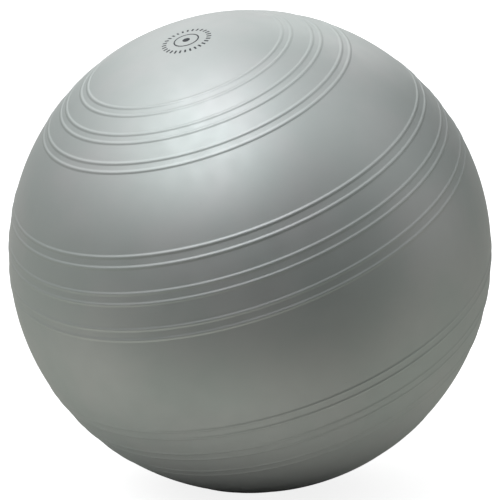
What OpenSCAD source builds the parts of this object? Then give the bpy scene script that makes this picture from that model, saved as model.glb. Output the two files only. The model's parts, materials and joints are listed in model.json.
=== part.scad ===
// Inflatable exercise ball with a push-in valve plug, resting on a floor.
//
// The origin is the centre of the flat patch where the ball meets the floor. +Z is up and -Y is the front.
// The ball is a body of revolution about its moulding axis, which leans towards the front.
// The printed mark is near the top end of that axis, and the valve is at its bottom end, at the lower back.

/* [Ball] */
// Diameter of the inflated ball over its smooth skin
ball_d = 650; // [550:50:850]
// Wall thickness of the inflated skin
wall_t = 0.9; // [0.8:0.1:1.6]
// Diameter of the flat patch where the ball rests
contact_d = 70; // [50:2:90]
// Lean of the moulding axis from the vertical
axis_lean = 24.5; // [20:0.1:40]

/* [Ribs] */
// Height of a rib above the skin
rib_h = 0.7; // [0.4:0.1:1.2]
// Width of a rib where it meets the skin
rib_w = 5.5; // [4.5:0.5:8]
// Latitude of the middle pair in the group near the equator
belt_latitude = 21.8; // [21:0.1:24]
// Angle between two neighbouring pairs of that group
belt_pitch = 8.1; // [7:0.1:9]
// Angle between the two ribs of a pair in that group
belt_gap = 2.4; // [2:0.1:3]
// Latitude of the middle pair in the group near each pole
cap_latitude = 58.0; // [55:0.1:61]
// Angle between two neighbouring pairs of that group
cap_pitch = 7.0; // [6.5:0.1:8]
// Angle between the two ribs of a pair in that group
cap_gap = 2.1; // [2:0.1:2.5]

/* [Valve seat] */
// Radius of the collar that shows through the skin
collar_r = 12; // [11.5:0.5:14]
// Radius of the flange that is welded under the skin
flange_r = 19; // [17:1:24]
// Thickness of that flange at its edge
flange_t = 1.6; // [1.2:0.2:3]
// Radius of the tube around the bore
tube_r = 8; // [7:0.5:9]
// Length of the seat, from the skin to the tube's end
seat_l = 24; // [22:1:30]
// Depth of the recess that holds the plug's head
recess_depth = 2.6; // [2:0.1:3]
// Radius of the bore at the recess floor
bore_mouth_r = 4.8; // [4.5:0.1:5.2]
// Radius of the bore at its inner end
bore_end_r = 4.1; // [3.8:0.1:4.4]

/* [Valve plug] */
// Radius of the plug's head
head_r = 9.8; // [9:0.1:10]
// Length of the shank below the head
shank_l = 20; // [17:1:21]
// Radius of the shank between its sealing rings
shank_r = 3.3; // [3:0.1:3.5]
// Number of sealing rings along the shank
ring_count = 4; // [2:1:5]

/* [Printed mark] */
// Outer radius of the ring of ticks
mark_r = 33; // [25:1:40]
// Number of ticks
tick_count = 28; // [12:2:32]
// Sideways offset of the mark from the moulding axis
mark_shift = 15; // [0:1:15]

/* [Hidden] */

$fn = 96;
ball_r = ball_d / 2;
inner_r = ball_r - wall_t;
// Height of the ball's centre once its lowest part is flattened against the floor
centre_h = sqrt(pow(ball_r, 2) - pow(contact_d / 2, 2));
// A rib's round crest is part of a circle through both of its feet
rib_crest_r = (pow(rib_w / 2, 2) + pow(rib_h, 2)) / (2 * rib_h);
rib_orbit_r = ball_r + rib_h - rib_crest_r;
RIB_GROUPS = [[belt_latitude, belt_pitch, belt_gap], [cap_latitude, cap_pitch, cap_gap]];
RIB_LATITUDES = [
    for (half = [-1, 1], group = RIB_GROUPS, pair = [-1:1], side = [-0.5, 0.5])
        half * (group[0] + pair * group[1] + side * group[2])
];

weld_gap = 0.05;       // line of weld between the skin and the seat
collar_drop = 0.3;     // how far the collar sits below the top of the skin's curve
collar_overlap = 2;    // of the collar into the seat's body
flare_w = 4;           // the tube widens by this much where it meets the flange,
flare_l = 6;           // over this length below the flange
lip_t = 2;             // thickness that the flange gains towards the flare
tube_chamfer = 1;
recess_clearance = 0.4;
seat_floor = -collar_drop - recess_depth;
plug_clearance = 0.06; // between the sealing rings and the bore
head_crown = 0.5;      // rise of the head's domed top
crown_r = (pow(head_r, 2) + pow(head_crown, 2)) / (2 * head_crown);
head_edge_t = recess_depth;
head_overlap = 0.5;    // of the shank into the head
head_edge_chamfer = 0.8;
ring_l = 2.4;          // length of a sealing ring, from its root on the tip's side
ring_taper = 0.1;      // fall of its crest over the crest's length
crest_l = 1;
crest_drop = 0.2;      // from a ring's shoulder to its crest
ring_place = 0.35;     // of a ring's shoulder along its share of the shank
tip_l = 2;             // tapered lead-in at the shank's tip
tip_r = 2.6;
core_r = 1.9;          // blind core hole in the shank
core_depth = 14;

ink_lift = 0.02;       // from the skin to the underside of the ink
ink_t = 0.1;
tick_l = 6;
tick_w = 2.4;
inner_ring_r = 17;
inner_ring_w = 1.8;
centre_dot_r = 5;

// Everything that turns about the moulding axis: +Z is along it, from the ball's centre towards the mark
module on_axis() {
    translate([0, 0, centre_h]) rotate([axis_lean, 0, 0]) children();
}

// The valve's own frame: the origin is on the skin's curve at the bottom pole and +Z points out of the ball
module at_valve() {
    on_axis() translate([0, 0, -ball_r]) rotate([180, 0, 0]) children();
}

module above(height) {
    translate([-ball_d, -ball_d, height]) cube([2 * ball_d, 2 * ball_d, 2 * ball_d]);
}

// A half section drawn from the moulding axis outwards is turned about it. The turn starts at the back, so
// its seam is well away from the flat patch.
module turned() {
    on_axis() rotate([0, 0, 90]) rotate_extrude() children();
}

module half_disc(r) {
    intersection() {
        circle(r = r);
        translate([0, -ball_d]) square([ball_d, 2 * ball_d]);
    }
}

module ribbed_half() {
    half_disc(ball_r);
    for (latitude = RIB_LATITUDES)
        translate(rib_orbit_r * [cos(latitude), sin(latitude)]) circle(r = rib_crest_r, $fn = 32);
}

module ball_skin() {
    $fn = 240;
    color("darkgray") difference() {
        intersection() {
            turned() ribbed_half();
            above(0);
        }
        intersection() {
            turned() half_disc(inner_r);
            above(wall_t);
        }
        at_valve() translate([0, 0, -seat_l]) cylinder(r = collar_r, h = 2 * seat_l);
    }
}

// The part of the seat inside the ball: a thin flange that thickens into the tube
module seat_body() {
    flange_z = -wall_t - pow(flange_r, 2) / ball_d;
    intersection() {
        rotate_extrude() polygon([
            [0, 0],
            [flange_r, 0],
            [flange_r, flange_z - flange_t],
            [tube_r + flare_w, flange_z - flange_t - lip_t],
            [tube_r, flange_z - flange_t - flare_l],
            [tube_r, -seat_l + tube_chamfer],
            [tube_r - tube_chamfer, -seat_l],
            [0, -seat_l]
        ]);
        translate([0, 0, -ball_r]) sphere(r = inner_r - weld_gap, $fn = 180);
    }
}

module valve_seat() {
    bore_l = seat_l + seat_floor;
    color("gainsboro") at_valve() difference() {
        union() {
            seat_body();
            translate([0, 0, -wall_t - collar_overlap])
                cylinder(r = collar_r - weld_gap, h = wall_t + collar_overlap - collar_drop);
        }
        translate([0, 0, seat_floor]) cylinder(r = head_r + recess_clearance, h = 2 * recess_depth);
        translate([0, 0, -seat_l]) cylinder(r1 = bore_end_r, r2 = bore_mouth_r, h = bore_l);
    }
}

function bore_radius(depth) =
    bore_mouth_r - (bore_mouth_r - bore_end_r) * depth / (seat_l + seat_floor);

// Half outline of the shank, from its tip up to its root. Each ring rises steeply and tapers towards the tip.
function shank_outline() =
    let (pitch = (shank_l - tip_l) / ring_count)
    concat(
        [[0, -shank_l], [tip_r, -shank_l], [shank_r, -shank_l + tip_l]],
        [for (i = [ring_count - 1:-1:0])
            let (top = (i + ring_place) * pitch, crest = bore_radius(top) - plug_clearance)
            each [
                [shank_r, -top - ring_l],
                [crest - ring_taper, -top - crest_drop - crest_l],
                [crest, -top - crest_drop],
                [shank_r, -top]
            ]],
        [[shank_r, head_overlap], [0, head_overlap]]
    );

// Half section of the plug, with its head above z = 0, its shank below, and a blind core hole up the shank
module plug_half() {
    difference() {
        union() {
            intersection() {
                polygon([
                    [0, 0],
                    [head_r - head_edge_chamfer, 0],
                    [head_r, head_edge_chamfer],
                    [head_r, head_edge_t + head_crown],
                    [0, head_edge_t + head_crown]
                ]);
                translate([0, head_edge_t + head_crown - crown_r]) circle(r = crown_r, $fn = 180);
            }
            polygon(shank_outline());
        }
        translate([0, -shank_l - 1]) square([core_r, core_depth + 1]);
    }
}

module valve_plug() {
    color("whitesmoke") at_valve() translate([0, 0, seat_floor]) rotate_extrude() plug_half();
}

module mark_outline() {
    for (i = [0:tick_count - 1])
        rotate(360 / tick_count * i)
            translate([mark_r - tick_l, -tick_w / 2]) square([tick_l, tick_w]);
    difference() {
        circle(r = inner_ring_r);
        circle(r = inner_ring_r - inner_ring_w);
    }
    circle(r = centre_dot_r);
}

module printed_mark() {
    color("darkslategray") on_axis() intersection() {
        translate([mark_shift, 0, 0]) linear_extrude(height = ball_d) mark_outline();
        difference() {
            sphere(r = ball_r + ink_lift + ink_t, $fn = 180);
            sphere(r = ball_r + ink_lift, $fn = 180);
        }
    }
}

ball_skin();
valve_seat();
valve_plug();
printed_mark();
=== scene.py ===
"""Looks for the exercise ball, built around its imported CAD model. Metres, +Z up, -Y front."""
import json
import math

import bmesh
import bpy
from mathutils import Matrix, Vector


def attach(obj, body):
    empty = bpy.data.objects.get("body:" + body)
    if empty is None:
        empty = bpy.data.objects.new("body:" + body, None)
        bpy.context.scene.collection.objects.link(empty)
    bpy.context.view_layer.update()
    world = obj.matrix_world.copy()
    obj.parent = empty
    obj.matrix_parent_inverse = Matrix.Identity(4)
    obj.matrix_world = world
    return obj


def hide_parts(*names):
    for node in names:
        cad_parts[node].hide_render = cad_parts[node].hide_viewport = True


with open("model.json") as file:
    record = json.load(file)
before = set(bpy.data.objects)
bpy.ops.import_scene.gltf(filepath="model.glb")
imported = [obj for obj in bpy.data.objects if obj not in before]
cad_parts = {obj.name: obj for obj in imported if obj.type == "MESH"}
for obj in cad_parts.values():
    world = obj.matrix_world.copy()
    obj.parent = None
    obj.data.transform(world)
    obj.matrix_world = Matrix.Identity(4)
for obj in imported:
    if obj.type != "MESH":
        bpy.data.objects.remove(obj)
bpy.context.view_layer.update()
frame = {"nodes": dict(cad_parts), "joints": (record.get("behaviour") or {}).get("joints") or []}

# ---- Ball sizes, in metres and degrees. All but the height and width of a rib are the CAD source's. ----
MM = 0.001
BALL_R = 325 * MM
WALL_T = 0.9 * MM
HOLE_R = 12 * MM  # of the hole in the skin that the valve seat fills
PATCH_R = 35 * MM  # of the flat patch on the floor
RIB_H = 0.75 * MM
RIB_W = 6.6 * MM  # with the soft feet that run into the skin, which a CAD rib doesn't have
RIB_GROUPS = ((21.8, 8.1, 2.4), (58.0, 7.0, 2.1))  # middle latitude, pitch of the pairs, gap in a pair
RIB_LATITUDES = sorted(
    half * (middle + pair * pitch + side * gap)
    for half in (-1, 1)
    for middle, pitch, gap in RIB_GROUPS
    for pair in (-1, 0, 1)
    for side in (-0.5, 0.5)
)
CENTRE = Vector((0, 0, math.sqrt(BALL_R**2 - PATCH_R**2)))
# The plug is pulled out along the moulding axis, so the joint's axis points along it, out of the valve
VALVE_OUT = Vector(frame["joints"][0]["axis"]).normalized()
TURN_TO_AXIS = Vector((0, 0, 1)).rotation_difference(-VALVE_OUT).to_matrix()


# ---- Turned shapes ----
# An outline is a closed list of (distance from the moulding axis, height along it, rounding of the corner)
ROUND_STEPS = 3
HOLD = 1.5  # a holding point's distance from the corner, in lengths of the round


def spread(start, end, steps):
    """Evenly spaced values, with both ends."""
    return [start + (end - start) * i / steps for i in range(steps + 1)]


def rounded(outline):
    """The points of an outline, with its corners rounded.

    A holding point on either side of each round keeps the shading of the flats next to it even.
    """
    points = []
    for before, (r, z, rounding), after in zip(outline[-1:] + outline, outline, outline[1:] + outline[:1]):
        corner = Vector((r, z))
        if not rounding:
            points.append(corner)
            continue
        back = (Vector(before[:2]) - corner).normalized()
        ahead = (Vector(after[:2]) - corner).normalized()
        reach = rounding / math.tan(back.angle(ahead) / 2)
        points.append(corner + back * HOLD * reach)
        for t in spread(0, 1, ROUND_STEPS):  # a quadratic curve with the corner as its middle control point
            points.append(corner + back * reach * (1 - t) ** 2 + ahead * reach * t**2)
        points.append(corner + ahead * HOLD * reach)
    return points


def add_object(name, data):
    thing = bpy.data.objects.new(name, data)
    bpy.context.scene.collection.objects.link(thing)
    return thing


def turned(name, outline, segments, settle=None):
    """A closed surface that turns about the moulding axis. Heights along the axis start at the ball's centre.

    The settle function, if there is one, gives a point its final place from its offset from the centre.
    """
    turns = [2 * math.pi * i / segments for i in range(segments)]
    bm = bmesh.new()

    def ring(r, z):
        is_pole = r < 1e-6
        verts = []
        for turn in (turns[:1] if is_pole else turns):
            offset = TURN_TO_AXIS @ Vector((r * math.cos(turn), r * math.sin(turn), z))
            verts.append(bm.verts.new(settle(offset) if settle else offset + CENTRE))
        return verts * segments if is_pole else verts

    rings = [ring(*point) for point in rounded(outline)]
    for low, high in zip(rings, rings[1:] + rings[:1]):
        if low[0] is low[1] and high[0] is high[1]:  # two poles have no faces between them
            continue
        for i in range(segments):
            j = (i + 1) % segments
            corners = dict.fromkeys((low[i], low[j], high[j], high[i]))  # a pole counts once
            bm.faces.new(corners)
    mesh = bpy.data.meshes.new(name)
    bm.to_mesh(mesh)
    bm.free()
    mesh.shade_smooth()
    return add_object(name, mesh)


# ---- Skin ----
SKIN_SEGMENTS = 206
RIB_STEPS = 12  # of latitude over a rib
RIB_MARGIN = 1.2  # these steps start and end a little beyond the rib, in half widths from its middle
PLAIN_STEP = 1.6  # largest step of latitude between ribs
INNER_STEPS = 42  # of latitude down the inside as far as the seat's flange
FLANGE_LATITUDE = -85.0  # where the inside starts to run over the flange
FLANGE_STEPS = 5
OUTER_RIM_ROUND = 0.3 * MM
INNER_RIM_ROUND = 0.2 * MM
PATCH_ROUND = 0.3 * MM  # between the flat patch and the curve of the skin


def rib_height(latitude):
    """How far the skin stands proud of the ball's sphere at a latitude."""
    rib = min(RIB_LATITUDES, key=lambda middle: abs(latitude - middle))
    x = math.radians(latitude - rib) * BALL_R / (RIB_W / 2)
    return RIB_H * (1 - x * x) ** 2 if abs(x) < 1 else 0.0


def hole_latitude(r):
    """Where a sphere about the ball's centre meets the valve hole."""
    return -math.degrees(math.acos(HOLE_R / r))


def outer_latitudes():
    """Latitudes past the rim of the valve hole up to the north pole, close together over each rib."""
    reach = RIB_MARGIN * math.degrees(RIB_W / 2 / BALL_R)
    cuts = [hole_latitude(BALL_R)]
    for rib in RIB_LATITUDES:
        cuts += spread(rib - reach, rib + reach, RIB_STEPS)
    cuts.append(90.0)
    latitudes = []
    for a, b in zip(cuts, cuts[1:]):
        latitudes += spread(a, b, math.ceil((b - a) / PLAIN_STEP))[1:]
    return latitudes


def inner_latitudes():
    """Latitudes from the north pole down to the rim of the valve hole, close together over the flange."""
    plain = spread(90.0, FLANGE_LATITUDE, INNER_STEPS)[:-1]
    return plain + spread(FLANGE_LATITUDE, hole_latitude(BALL_R - WALL_T), FLANGE_STEPS)[:-1]


def at_latitude(r, latitude, rounding=0.0):
    return r * math.cos(math.radians(latitude)), r * math.sin(math.radians(latitude)), rounding


def rest_on_floor(offset):
    """Flattens the skin against the floor. The inside comes to rest on the wall's thickness."""
    is_outside = offset.length > BALL_R - WALL_T / 2
    lowest = 0.0 if is_outside else WALL_T
    height = (offset + CENTRE).z - lowest
    return Vector((offset.x, offset.y, lowest + (height + math.hypot(height, PATCH_ROUND)) / 2))


def make_skin():
    """The wall as one closed surface: up the outside, down the inside, joined at the valve hole."""
    outer = [at_latitude(BALL_R + rib_height(latitude), latitude) for latitude in outer_latitudes()]
    inner = [at_latitude(BALL_R - WALL_T, latitude) for latitude in inner_latitudes()]
    outer_rim = at_latitude(BALL_R, hole_latitude(BALL_R), OUTER_RIM_ROUND)
    inner_rim = at_latitude(BALL_R - WALL_T, hole_latitude(BALL_R - WALL_T), INNER_RIM_ROUND)
    return turned("skin", [outer_rim, *outer, *inner, inner_rim], SKIN_SEGMENTS, rest_on_floor)


# ---- Valve ----
# Lengths in this part are in millimetres, and heights start at the skin's curve and rise out of the ball
SEAT_SEGMENTS, PLUG_SEGMENTS = 96, 80
COLLAR_R, COLLAR_TOP = 11.95, -0.3
RECESS_R, SEAT_FLOOR = 10.2, -2.9
BORE_MOUTH_R, BORE_END_R = 4.8, 4.1
SEAT_END = -24.0
FLANGE_R, FLANGE_UNDER = 19.0, -3.05
FLANGE_MARGIN = 0.8  # the flange's top follows the skin between points this far from its two corners,
FLANGE_TOP_STEPS = 4  # in this many steps
LIP_T = 2.0  # thickness that the flange gains towards the tube's flare
FLARE_W, FLARE_L = 4.0, 6.0  # the tube widens by this much where it meets the flange, over this length
TUBE_R, TUBE_CHAMFER = 8.0, 1.0
HEAD_R, HEAD_T, HEAD_CROWN, HEAD_CHAMFER = 9.8, 2.6, 0.5, 0.8
CROWN_R, CROWN_STEPS = 8.8, 6  # radius out to which the crown's curve is drawn, and its steps
SHANK_R, SHANK_L, TIP_R, TIP_L = 3.3, 20.0, 2.6, 2.0
RING_COUNT, RING_L, CREST_L, SHOULDER_L, RING_TAPER = 4, 2.4, 1.0, 0.2, 0.1
RING_START = 0.35  # of a ring along its share of the shank
CORE_R, CORE_END = 1.9, -6.0
PLUG_CLEARANCE = 0.06
WELD_GAP = 0.05


def at_valve(outline, rise=0.0):
    """An outline in this part's lengths and heights, raised and put where the valve is."""
    return [(r * MM, -BALL_R - (z + rise) * MM, rounding * MM) for r, z, rounding in outline]


def under_skin(r):
    """Height of the weld between the skin's inside and the seat."""
    return math.sqrt(((BALL_R - WALL_T) / MM - WELD_GAP) ** 2 - r * r) - BALL_R / MM


def make_seat():
    """The welded seat, with its collar, its flange under the skin, its tube and its tapered bore."""
    flange_radii = spread(COLLAR_R + FLANGE_MARGIN, FLANGE_R - FLANGE_MARGIN, FLANGE_TOP_STEPS)
    outline = [
        (COLLAR_R, COLLAR_TOP, 0.25),
        (COLLAR_R, under_skin(COLLAR_R), 0.1),
        *[(r, under_skin(r), 0) for r in flange_radii],
        (FLANGE_R, under_skin(FLANGE_R), 0.25),
        (FLANGE_R, FLANGE_UNDER, 0.4),
        (TUBE_R + FLARE_W, FLANGE_UNDER - LIP_T, 1.0),
        (TUBE_R, FLANGE_UNDER - FLARE_L, 1.0),
        (TUBE_R, SEAT_END + TUBE_CHAMFER, 0.3),
        (TUBE_R - TUBE_CHAMFER, SEAT_END, 0.3),
        (BORE_END_R, SEAT_END, 0.3),
        (BORE_MOUTH_R, SEAT_FLOOR, 0.4),
        (RECESS_R, SEAT_FLOOR, 0.3),
        (RECESS_R, COLLAR_TOP, 0.25),
    ]
    return turned("seat", at_valve(outline), SEAT_SEGMENTS)


def shank_rings():
    """Outline down the shank, from the head's underside to the tip. Heights start at that underside."""
    outline = [(SHANK_R, 0, 0.3)]
    pitch = (SHANK_L - TIP_L) / RING_COUNT
    for i in range(RING_COUNT):
        top = (i + RING_START) * pitch
        crest = BORE_MOUTH_R - (BORE_MOUTH_R - BORE_END_R) * top / (SEAT_FLOOR - SEAT_END) - PLUG_CLEARANCE
        outline += [
            (SHANK_R, -top, 0.05),
            (crest, -top - SHOULDER_L, 0.15),
            (crest - RING_TAPER, -top - SHOULDER_L - CREST_L, 0.15),
            (SHANK_R, -top - RING_L, 0.1),
        ]
    return outline + [(SHANK_R, TIP_L - SHANK_L, 0.3), (TIP_R, -SHANK_L, 0.2)]


def make_plug():
    """The plug in its seat. Heights in its outline start at the head's underside."""
    crown = [(r, HEAD_T + HEAD_CROWN * (1 - (r / HEAD_R) ** 2), 0) for r in spread(0, CROWN_R, CROWN_STEPS)]
    outline = [
        *crown,
        (HEAD_R, HEAD_T, 0.45),
        (HEAD_R, HEAD_CHAMFER, 0.2),
        (HEAD_R - HEAD_CHAMFER, 0, 0.2),
        *shank_rings(),
        (CORE_R, -SHANK_L, 0.2),
        (CORE_R, CORE_END, 0.3),
        (0, CORE_END, 0),
    ]
    return turned("plug", at_valve(outline, rise=SEAT_FLOOR), PLUG_SEGMENTS)


# ---- Materials ----
class Shading:
    """Short calls that build a node tree."""

    def __init__(self, tree):
        self.tree = tree

    def set(self, socket, value):
        """Links a socket to another one, or gives it a value."""
        if isinstance(value, bpy.types.NodeSocket):
            self.tree.links.new(value, socket)
        else:
            socket.default_value = value

    def node(self, kind, settings=(), **inputs):
        """A node with its settings and inputs. An underscore in an input's name stands for a space."""
        node = self.tree.nodes.new(kind)
        for name, value in settings:
            setattr(node, name, value)
        for name, value in inputs.items():
            self.set(node.inputs[name.replace("_", " ")], value)
        return node

    def noise(self, scale, detail=2.0, roughness=0.5):
        spot = self.node("ShaderNodeTexCoord").outputs["Object"]
        node = self.node("ShaderNodeTexNoise", Vector=spot, Scale=scale, Detail=detail, Roughness=roughness)
        return node.outputs["Fac"]

    def ramp(self, value, start, end, low=0.0, high=1.0):
        """Goes smoothly from low to high as the value goes from start to end."""
        node = self.node("ShaderNodeMapRange", [("interpolation_type", "SMOOTHSTEP")], Value=value)
        for name, number in (("From Min", start), ("From Max", end), ("To Min", low), ("To Max", high)):
            node.inputs[name].default_value = number
        return node.outputs["Result"]

    def blend(self, fac, a, b):
        """A colour between a and b."""
        node = self.node("ShaderNodeMix", [("data_type", "RGBA")])
        for index, value in ((0, fac), (6, a), (7, b)):  # sockets of other data types share these ones' names
            self.set(node.inputs[index], (*value, 1.0) if isinstance(value, tuple) else value)
        return node.outputs[2]

    def bump(self, strength, depth, height):
        return self.node("ShaderNodeBump", Strength=strength, Distance=depth, Height=height).outputs["Normal"]

    def calc(self, operation, a, b):
        node = self.node("ShaderNodeMath", [("operation", operation)])
        self.set(node.inputs[0], a)
        self.set(node.inputs[1], b)
        return node.outputs[0]

    def along(self, vector, direction):
        """The length of a vector along a direction."""
        node = self.node("ShaderNodeVectorMath", [("operation", "DOT_PRODUCT")])
        self.set(node.inputs[0], vector)
        self.set(node.inputs[1], direction)
        return node.outputs["Value"]

    def length(self, vector):
        node = self.node("ShaderNodeVectorMath", [("operation", "LENGTH")])
        self.set(node.inputs[0], vector)
        return node.outputs["Value"]


def new_material(name):
    material = bpy.data.materials.new(name)
    material.use_nodes = True
    return material, Shading(material.node_tree), material.node_tree.nodes["Principled BSDF"]


def skin_material():
    """Silver-grey PVC: a satin, pearly sheen, faint clouds of tone, fine mould grain and rare specks."""
    material, s, shader = new_material("skin_pvc")
    clouds = s.ramp(s.noise(scale=7.0, detail=3.0), 0.35, 0.65)
    tone = s.blend(clouds, (0.556, 0.594, 0.572), (0.596, 0.612, 0.596))
    specks = s.ramp(s.noise(scale=300.0, detail=1.0), 0.79, 0.83, high=0.4)
    s.set(shader.inputs["Base Color"], s.blend(specks, tone, (0.36, 0.38, 0.37)))
    shader.inputs["Metallic"].default_value = 0.6
    s.set(shader.inputs["Roughness"], s.ramp(s.noise(scale=45.0, detail=3.0), 0.3, 0.7, low=0.48, high=0.53))
    grain = s.noise(scale=2400.0, roughness=0.6)
    s.set(shader.inputs["Normal"], s.bump(strength=0.06, depth=0.2 * MM, height=grain))
    return material


def plastic_material(name, dark, light, roughness, bump):
    """Moulded plastic or print: a slightly cloudy tone, uneven roughness and a fine grain."""
    material, s, shader = new_material(name)
    clouds = s.ramp(s.noise(scale=160.0, detail=3.0), 0.35, 0.65)
    s.set(shader.inputs["Base Color"], s.blend(clouds, dark, light))
    polish = s.ramp(s.noise(scale=500.0), 0.3, 0.7, low=roughness - 0.05, high=roughness + 0.05)
    s.set(shader.inputs["Roughness"], polish)
    grain = s.noise(scale=3500.0, roughness=0.6)
    s.set(shader.inputs["Normal"], s.bump(strength=bump, depth=0.1 * MM, height=grain))
    return material


def seat_material():
    return plastic_material("seat_pvc", (0.24, 0.25, 0.24), (0.27, 0.28, 0.27), 0.45, bump=0.15)


def plug_material():
    return plastic_material("plug_plastic", (0.62, 0.62, 0.60), (0.68, 0.68, 0.66), 0.40, bump=0.10)


def ink_material():
    return plastic_material("print_ink", (0.012, 0.016, 0.022), (0.022, 0.028, 0.036), 0.55, bump=0.05)


# ---- Camera ----
VIEW_AZIMUTH = 43.7
VIEW_ELEVATION = 10.0
VIEW_DISTANCE = 9.7 * BALL_R
VIEW_LENS = 167.6  # millimetres
VIEW_TURN = math.radians(VIEW_AZIMUTH)
LEVEL_BACK = Vector((math.sin(VIEW_TURN), -math.cos(VIEW_TURN), 0))  # level, from the ball to the camera
LEVEL_RIGHT = Vector((math.cos(VIEW_TURN), math.sin(VIEW_TURN), 0))
UP = Vector((0, 0, 1))


def from_view(azimuth, elevation):
    """A direction from the ball. Azimuth is measured from the camera, and is positive to its right."""
    a, e = math.radians(azimuth), math.radians(elevation)
    return math.cos(e) * (math.cos(a) * LEVEL_BACK + math.sin(a) * LEVEL_RIGHT) + math.sin(e) * UP


def aim(thing, direction, target, distance):
    """Puts a camera or a lamp at a distance from its target in a direction, looking back at the target."""
    thing.location = target + direction * distance
    thing.rotation_mode = "QUATERNION"
    thing.rotation_quaternion = direction.to_track_quat("Z", "Y")


def add_camera():
    data = bpy.data.cameras.new("camera")
    data.lens = VIEW_LENS
    camera = add_object("camera", data)
    aim(camera, from_view(0, VIEW_ELEVATION), Vector((0, 0, BALL_R)), VIEW_DISTANCE)
    bpy.context.scene.camera = camera


# ---- Stage ----
WHITE = (1.0, 1.0, 1.0)
COOL = (0.97, 1.0, 1.06)
SLIGHTLY_COOL = (0.985, 1.0, 1.015)
WARM = (0.98, 1.0, 0.92)
LAMP_DISTANCE = 2.4
LAMPS = (  # name, azimuth and elevation from the view, side, power in watts, colour
    ("key_high", -35, 70, 1.5, 8.4, COOL),
    ("key_low", -20, 50, 1.5, 5.2, COOL),
    ("fill_right", 90, 12, 1.2, 1.5, WHITE),
    ("rear_right", 160, 40, 1.2, 4.9, WHITE),
    ("rear_left", -160, 40, 1.2, 2.9, WHITE),
)
GLOWS = (  # soft patches of light in the room, highest first: azimuth and elevation from the view, strength
    (-45, 55, 1.92),
    (90, 55, 0.87),
    (-135, 55, 1.05),
    (-90, 30, 0.34),
    (180, 5, 0.68),
    (-135, -20, 0.36),
    (90, -20, 0.27),
    (135, -20, 0.30),
    (-90, -45, 0.64),
    (90, -45, 0.29),
    (0, -70, 0.79),
    (180, -70, 1.05),
)
GLOW_TIGHTNESS = 8.0  # a glow fades with this power of the cosine from its middle
TINT_START, TINT_END = -0.2, 0.4  # sines of the elevations between which the room turns from warm to cool
FLOOR_R, FLOOR_SEGMENTS = 30.0, 96
FLOOR_SEEN = (0.5, 0.5, 0.5)  # colour that the camera sees, on top of the floor's own glow
FLOOR_BOUNCE = (0.3, 0.3, 0.3)  # colour that lights the ball
SOLID_R, CLEAR_R = 0.1, 0.5  # the floor stops light from below out to one radius and passes it from the other
DIM_R, BRIGHT_R = 0.3, 1.4  # painted shade: the floor's glow is dimmed out to one radius and full from the other
PAINTED_SHADE_DEPTH = 0.15  # painted shade: share of the glow that is taken away under the ball


def add_lamps():
    for name, azimuth, elevation, side, power, colour in LAMPS:
        data = bpy.data.lights.new(name, "AREA")
        data.size = side
        data.energy = power
        data.color = colour
        lamp = add_object(name, data)
        aim(lamp, from_view(azimuth, elevation), CENTRE, LAMP_DISTANCE)
        lamp.visible_camera = False


def add_world():
    """Plain white to the camera. To the ball, a soft room that is slightly cool above and warm below."""
    world = bpy.data.worlds.new("world")
    bpy.context.scene.world = world
    world.use_nodes = True
    s = Shading(world.node_tree)
    ray = s.node("ShaderNodeTexCoord").outputs["Generated"]
    seen = s.node("ShaderNodeLightPath").outputs["Is Camera Ray"]
    strength = seen
    for azimuth, elevation, power in GLOWS:
        cosine = s.calc("MAXIMUM", s.along(ray, from_view(azimuth, elevation)), 0.0)
        glow = s.calc("MULTIPLY", s.calc("POWER", cosine, GLOW_TIGHTNESS), power)
        strength = s.calc("ADD", strength, glow)
    tint = s.blend(s.ramp(s.along(ray, UP), TINT_START, TINT_END), WARM, SLIGHTLY_COOL)
    background = world.node_tree.nodes["Background"]
    s.set(background.inputs["Color"], s.blend(seen, tint, WHITE))
    s.set(background.inputs["Strength"], strength)


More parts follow.
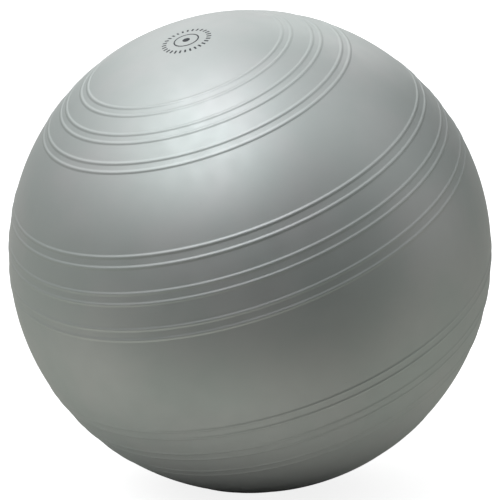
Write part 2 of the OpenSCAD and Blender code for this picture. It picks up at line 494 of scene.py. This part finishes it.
def floor_material():
    """Pale, with a soft shadow near the ball, partly cast by the lamps and partly painted shade in its glow.
    Away from it, the room's light comes through from below.
    """
    material, s, shader = new_material("floor")
    distance = s.length(s.node("ShaderNodeTexCoord").outputs["Object"])
    seen = s.node("ShaderNodeLightPath").outputs["Is Camera Ray"]
    # painted shade: the glow is dimmed near the ball, on top of the shadow that the lamps cast
    glow = s.ramp(distance, DIM_R, BRIGHT_R, low=1 - PAINTED_SHADE_DEPTH, high=1.0)
    s.set(shader.inputs["Base Color"], s.blend(seen, FLOOR_BOUNCE, FLOOR_SEEN))
    shader.inputs["Roughness"].default_value = 1.0
    shader.inputs["Specular IOR Level"].default_value = 0.0
    shader.inputs["Emission Color"].default_value = (*WHITE, 1.0)
    s.set(shader.inputs["Emission Strength"], s.calc("MULTIPLY", glow, seen))
    seen_from_below = s.calc("MULTIPLY", s.node("ShaderNodeNewGeometry").outputs["Backfacing"], seen)
    lets_light_in = s.calc("MULTIPLY", s.ramp(distance, SOLID_R, CLEAR_R), s.calc("SUBTRACT", 1.0, seen))
    mix = s.node("ShaderNodeMixShader")
    s.set(mix.inputs[0], s.calc("ADD", seen_from_below, lets_light_in))
    s.set(mix.inputs[1], shader.outputs["BSDF"])
    s.set(mix.inputs[2], s.node("ShaderNodeBsdfTransparent").outputs["BSDF"])
    s.set(material.node_tree.nodes["Material Output"].inputs["Surface"], mix.outputs["Shader"])
    return material


def add_floor():
    """A pale floor that runs out into the white backdrop, and can be seen through from below."""
    bm = bmesh.new()
    bmesh.ops.create_circle(bm, cap_ends=True, radius=FLOOR_R, segments=FLOOR_SEGMENTS)
    mesh = bpy.data.meshes.new("floor")
    bm.to_mesh(mesh)
    bm.free()
    mesh.materials.append(floor_material())
    add_object("floor", mesh)


# ---- Build ----
def finish_piece(piece, body, node, material):
    """Gives a piece its material and its body, and hides the CAD node that it stands for."""
    piece.data.materials.append(material)
    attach(piece, body)
    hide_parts(node)


finish_piece(make_skin(), "ball", "ball_skin", skin_material())
finish_piece(make_seat(), "ball", "valve_seat", seat_material())
finish_piece(make_plug(), "plug", "valve_plug", plug_material())

# The printed mark keeps its CAD shape
mark = frame["nodes"]["printed_mark"].data
mark.materials.clear()
mark.materials.append(ink_material())

add_camera()
add_lamps()
add_world()
add_floor()
bpy.context.scene.view_settings.view_transform = "Standard"
